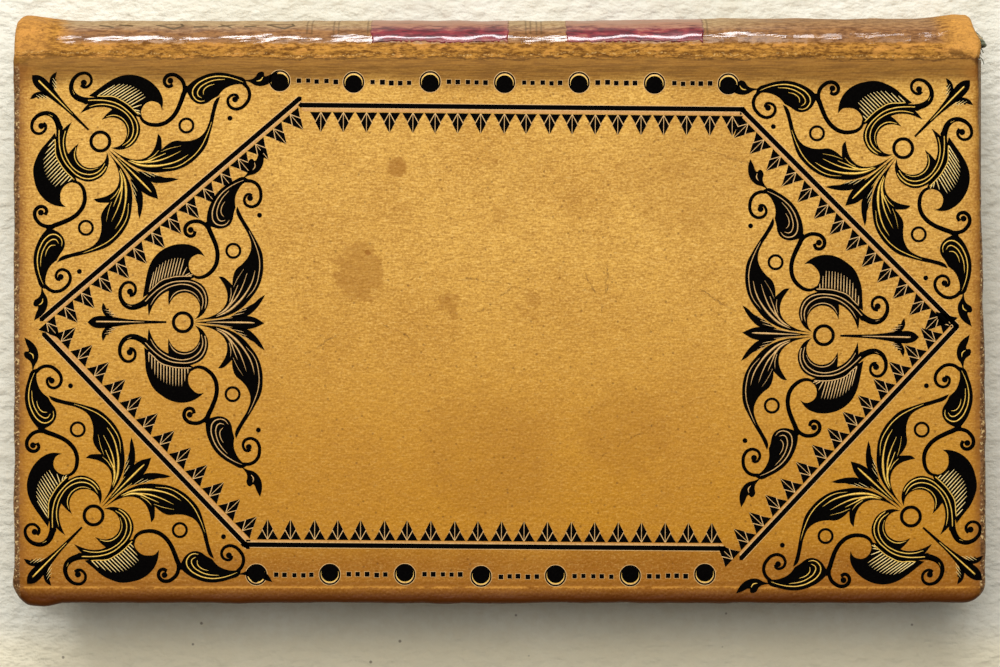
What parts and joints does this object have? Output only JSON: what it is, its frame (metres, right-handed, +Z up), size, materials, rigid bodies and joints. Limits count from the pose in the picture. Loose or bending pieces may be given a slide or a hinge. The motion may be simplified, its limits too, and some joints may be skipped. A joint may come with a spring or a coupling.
{
  "type": "leather-bound book",
  "caption": "Small old hardcover book in tan leather, lying flat, its front cover tooled in black with scrolls, a toothed border and beads, its covers hinged to a rounded spine.",
  "frame": {"origin": "middle of the book's box, on the surface it lies on", "axes": "+X along the spine towards the head, +Y towards the spine, +Z up out of the front cover"},
  "size_m": [0.1712, 0.1042, 0.0253],
  "materials": {
    "calf_leather": "satin",
    "label_leather": "satin",
    "black_tooling": "matte",
    "pasteboard": "matte",
    "leaves": "matte",
    "endpaper": "matte",
    "lining_paper": "matte",
    "hemp_cord": "matte",
    "endband_thread": "matte"
  },
  "bodies": {
    "book_block": {"text_block": "leaves", "spine_lining": "lining_paper", "front_free_endpaper": "endpaper", "back_free_endpaper": "endpaper", "head_endband": "endband_thread", "tail_endband": "endband_thread", "spine_leather": "calf_leather", "sewing_cord_1": "hemp_cord", "sewing_cord_2": "hemp_cord", "sewing_cord_3": "hemp_cord", "sewing_cord_4": "hemp_cord", "sewing_cord_5": "hemp_cord", "spine_label_tail": "label_leather", "spine_label_head": "label_leather"},
    "front_cover": {"front_board": "pasteboard", "front_leather": "calf_leather", "front_pastedown": "endpaper", "front_cord_slips": "hemp_cord", "frame_line": "black_tooling", "frame_teeth": "black_tooling", "bead_row_spine": "black_tooling", "bead_row_fore_edge": "black_tooling", "corner_scroll_tail_spine": "black_tooling", "corner_scroll_head_spine": "black_tooling", "corner_scroll_tail_fore_edge": "black_tooling", "corner_scroll_head_fore_edge": "black_tooling", "side_scroll_tail": "black_tooling", "side_scroll_head": "black_tooling"},
    "back_cover": {"back_board": "pasteboard", "back_leather": "calf_leather", "back_pastedown": "endpaper", "back_cord_slips": "hemp_cord"}
  },
  "joints": [
    {"name": "front_cover_hinge", "type": "hinge", "parent": "book_block", "child": "front_cover", "pos_m": [0, 0.0437, 0.0252], "axis": [-1, 0, 0], "range_deg": [0, 175]},
    {"name": "back_cover_hinge", "type": "hinge", "parent": "book_block", "child": "back_cover", "pos_m": [0, 0.0437, 0], "axis": [1, 0, 0], "range_deg": [0, 175]}
  ]
}
